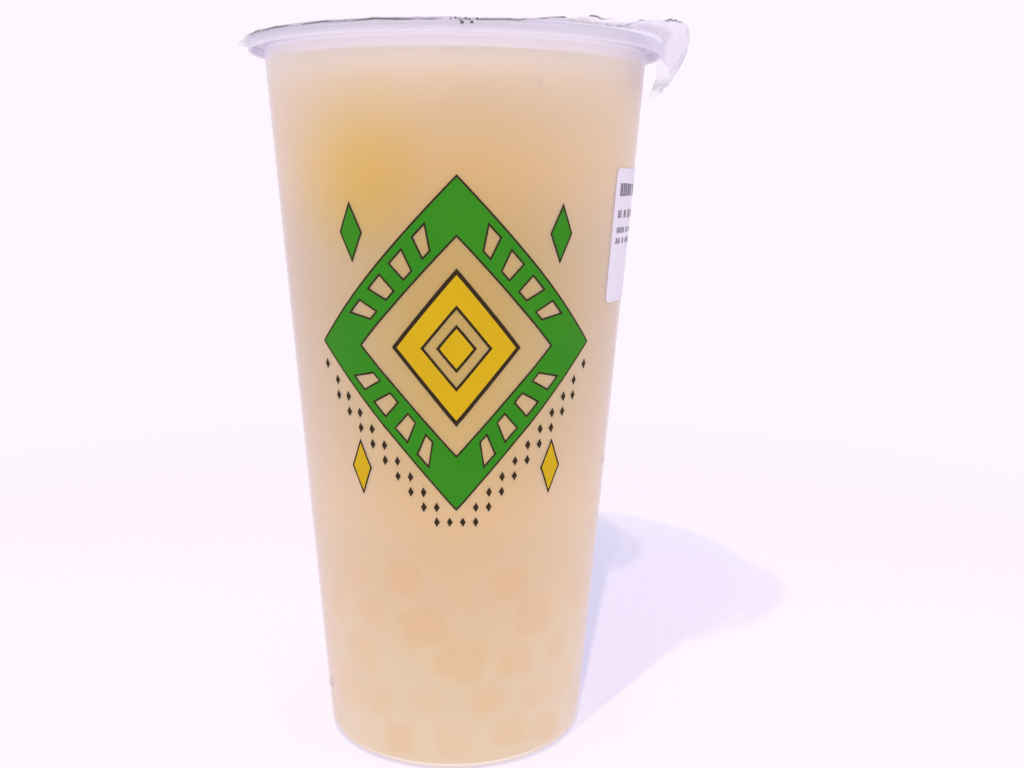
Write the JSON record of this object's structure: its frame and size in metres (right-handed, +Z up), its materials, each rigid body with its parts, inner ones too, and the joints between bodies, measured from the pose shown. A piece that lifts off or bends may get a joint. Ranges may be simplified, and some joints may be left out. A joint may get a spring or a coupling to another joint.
{
  "type": "sealed cup of iced milk tea",
  "caption": "Tall tapered plastic takeaway cup of iced milk tea with a clear film sealed over its rim and a paper order label on its side",
  "frame": {"origin": "on the surface that the cup stands on, at the middle of its foot ring", "axes": "+Z is up along the cup's axis, -Y is the printed front, +X is towards the order label"},
  "size_m": [0.1018, 0.0966, 0.1688],
  "materials": {
    "cup_plastic": "milky translucent polypropylene, softly glossy",
    "milk_tea": "opaque milky tea, pale warm beige",
    "clear_film": "thin clear sealing film, glossy, creased at its edge",
    "label_paper": "white thermal label paper, matt",
    "tea_jelly": "soft translucent jelly cubes seen through the tea",
    "print_green": "green printing ink on the cup",
    "print_yellow": "yellow printing ink on the cup",
    "print_dark": "dark brown printing ink on the cup",
    "water": "small clear drops of condensed water"
  },
  "bodies": {
    "root": {"cup": "cup_plastic", "milk_tea": "milk_tea", "sealing_film": "clear_film", "order_label": "label_paper"}
  },
  "joints": []
}
